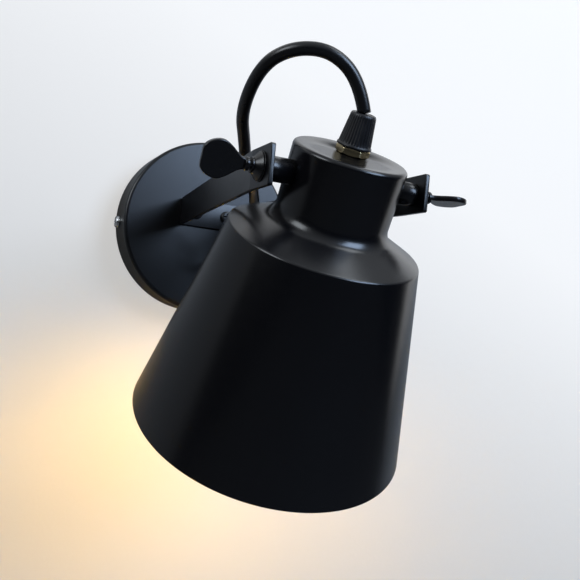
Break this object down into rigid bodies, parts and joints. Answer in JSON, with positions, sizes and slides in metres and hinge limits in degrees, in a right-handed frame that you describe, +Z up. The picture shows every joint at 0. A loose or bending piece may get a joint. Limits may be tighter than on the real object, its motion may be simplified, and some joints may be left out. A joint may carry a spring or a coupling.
{
  "type": "wall light",
  "caption": "Pivoting spotlight wall light: a bell shade clamped between the arms of a flat strip bracket on a round canopy, with a loop of cord",
  "frame": {"origin": "centre of the canopy's back, on the wall", "axes": "+Z up, +Y into the wall, the light stands out along -Y, +X to the right as seen from the room"},
  "size_m": [0.1448, 0.2449, 0.2078],
  "materials": {
    "black_coat": "satin black powder coat on steel",
    "shade_coat": "satin black powder coat outside, soft white enamel inside",
    "black_fittings": "satin black coat on turned brass",
    "black_washer": "black oxide on steel",
    "zinc": "zinc plated steel",
    "bright_zinc": "bright zinc plated steel",
    "black_nylon": "black moulded nylon",
    "cord_sheath": "black PVC cable sheath",
    "terminal_plastic": "natural polyamide",
    "brass": "plain brass",
    "brown_lead": "brown insulation",
    "blue_lead": "blue insulation",
    "green_lead": "green and yellow insulation",
    "holder_plastic": "black phenolic moulding",
    "insert_ceramic": "white glazed ceramic",
    "solder": "soldered tip contact",
    "cap_glass": "black glass insulator",
    "cap_aluminium": "rolled aluminium cap",
    "opal_glass": "opal glass, lit from inside"
  },
  "bodies": {
    "wall_mount": {"wall_canopy": "black_coat", "mounting_bar": "zinc", "canopy_side_screws": "bright_zinc", "u_bracket": "black_coat", "bracket_screws": "black_fittings", "bracket_washers": "zinc", "bracket_nuts": "zinc", "cord_bush": "black_nylon", "cord_bush_nut": "black_nylon", "cord_tail_wall": "cord_sheath", "terminal_block": "terminal_plastic", "terminal_screws": "brass", "block_screw": "zinc", "earth_washer": "brass", "earth_screw": "brass", "live_lead": "brown_lead", "neutral_lead": "blue_lead", "earth_lead": "green_lead"},
    "lamp_head": {"shade_shell": "shade_coat", "pivot_studs": "black_fittings", "threaded_nipple": "zinc", "lock_washer": "zinc", "top_nut": "brass", "cord_grip": "black_nylon", "grip_collet": "black_nylon", "cord_tail_head": "cord_sheath", "lamp_cord": "cord_sheath", "holder_cap": "holder_plastic", "holder_skirt": "holder_plastic", "holder_insert": "insert_ceramic", "screw_shell": "brass", "centre_contact": "brass", "holder_terminal_screws": "brass", "holder_leads": "brown_lead", "bulb_tip": "solder", "bulb_insulator": "cap_glass", "bulb_cap": "cap_aluminium", "bulb_globe": "opal_glass"},
    "left_clamp": {"left_thumb_screw": "black_fittings", "left_flat_washer": "black_washer", "left_bell_washer": "black_fittings"},
    "right_clamp": {"right_thumb_screw": "black_fittings", "right_flat_washer": "black_washer", "right_bell_washer": "black_fittings"}
  },
  "joints": [
    {"name": "head_tilt", "type": "hinge", "parent": "wall_mount", "child": "lamp_head", "pos_m": [0, -0.215, 0.0085], "axis": [1, 0, 0], "range_deg": [-116, 2], "deforming": ["lamp_cord"]},
    {"name": "left_screw_turn", "type": "hinge", "parent": "lamp_head", "child": "left_clamp", "pos_m": [-0.0419, -0.215, 0.0085], "axis": [1, 0, 0], "range_deg": [-180, 0]},
    {"name": "right_screw_turn", "type": "hinge", "parent": "lamp_head", "child": "right_clamp", "pos_m": [0.0419, -0.215, 0.0085], "axis": [1, 0, 0], "range_deg": [0, 180]}
  ]
}
